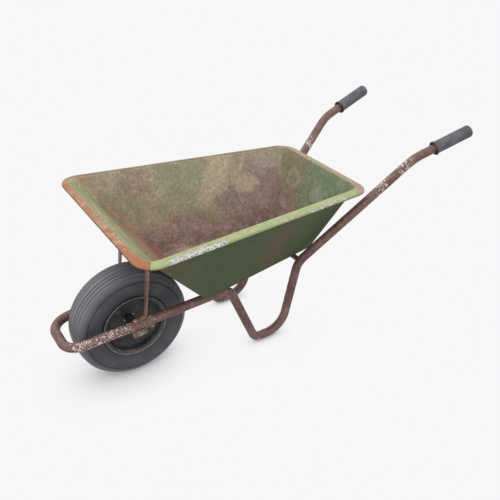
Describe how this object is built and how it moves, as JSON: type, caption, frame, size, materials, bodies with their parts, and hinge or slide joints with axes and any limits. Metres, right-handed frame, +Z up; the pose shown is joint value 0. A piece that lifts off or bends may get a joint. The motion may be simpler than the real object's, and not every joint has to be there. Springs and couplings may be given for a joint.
{
  "type": "wheelbarrow",
  "caption": "Wheelbarrow with a pressed steel tray on a bent tube frame, rubber grips and a pneumatic wheel that spins on a fixed axle between bracket plates.",
  "frame": {"origin": "on the floor, halfway along the length, in the middle of the width", "axes": "+X forward towards the wheel, +Y to the user's left, +Z up"},
  "size_m": [1.5185, 0.694, 0.7207],
  "materials": {
    "frame_rust": "bare steel tube, evenly rusted, with pale worn speckles",
    "tray_paint": "old green paint over pressed sheet steel, chipped and rusted",
    "strut_steel": "rusted flat strap",
    "bracket_steel": "rusted angle",
    "grip_rubber": "grey moulded rubber, matt",
    "tyre_rubber": "worn dark grey rubber",
    "tube_rubber": "smooth black rubber",
    "rim_paint": "dull dark grey paint",
    "nylon": "off-white moulded plastic",
    "axle_steel": "dull zinc-plated steel",
    "fasteners": "dull zinc-plated steel"
  },
  "bodies": {
    "barrow": {"axle": "axle_steel", "axle_bracket_left": "bracket_steel", "axle_bracket_right": "bracket_steel", "axle_nut_left": "axle_steel", "axle_nut_right": "axle_steel", "axle_spacer_left": "axle_steel", "axle_spacer_right": "axle_steel", "bracket_bolt_front_left": "fasteners", "bracket_bolt_front_right": "fasteners", "bracket_bolt_rear_left": "fasteners", "bracket_bolt_rear_right": "fasteners", "bracket_nut_front_left": "fasteners", "bracket_nut_front_right": "fasteners", "bracket_nut_rear_left": "fasteners", "bracket_nut_rear_right": "fasteners", "crossbar": "frame_rust", "floor_bolt_front_left": "fasteners", "floor_bolt_front_right": "fasteners", "floor_bolt_rear_left": "fasteners", "floor_bolt_rear_right": "fasteners", "floor_nut_front_left": "fasteners", "floor_nut_front_right": "fasteners", "floor_nut_rear_left": "fasteners", "floor_nut_rear_right": "fasteners", "frame_tube": "frame_rust", "grip_left": "grip_rubber", "grip_right": "grip_rubber", "strut_left": "strut_steel", "strut_right": "strut_steel", "strut_top_bolt_left": "fasteners", "strut_top_bolt_right": "fasteners", "strut_top_nut_left": "fasteners", "strut_top_nut_right": "fasteners", "tray": "tray_paint"},
    "wheel": {"bush_left": "nylon", "bush_right": "nylon", "hub_tube": "rim_paint", "inner_tube": "tube_rubber", "rim_bolt_1": "fasteners", "rim_bolt_2": "fasteners", "rim_bolt_3": "fasteners", "rim_bolt_4": "fasteners", "rim_left": "rim_paint", "rim_nut_1": "fasteners", "rim_nut_2": "fasteners", "rim_nut_3": "fasteners", "rim_nut_4": "fasteners", "rim_right": "rim_paint", "tyre": "tyre_rubber", "valve_cap": "nylon", "valve_stem": "tube_rubber"}
  },
  "joints": [
    {"name": "wheel_spin", "type": "hinge", "parent": "barrow", "child": "wheel", "pos_m": [0.50222, 0, 0.2], "axis": [0, 1, 0], "continuous": true}
  ]
}
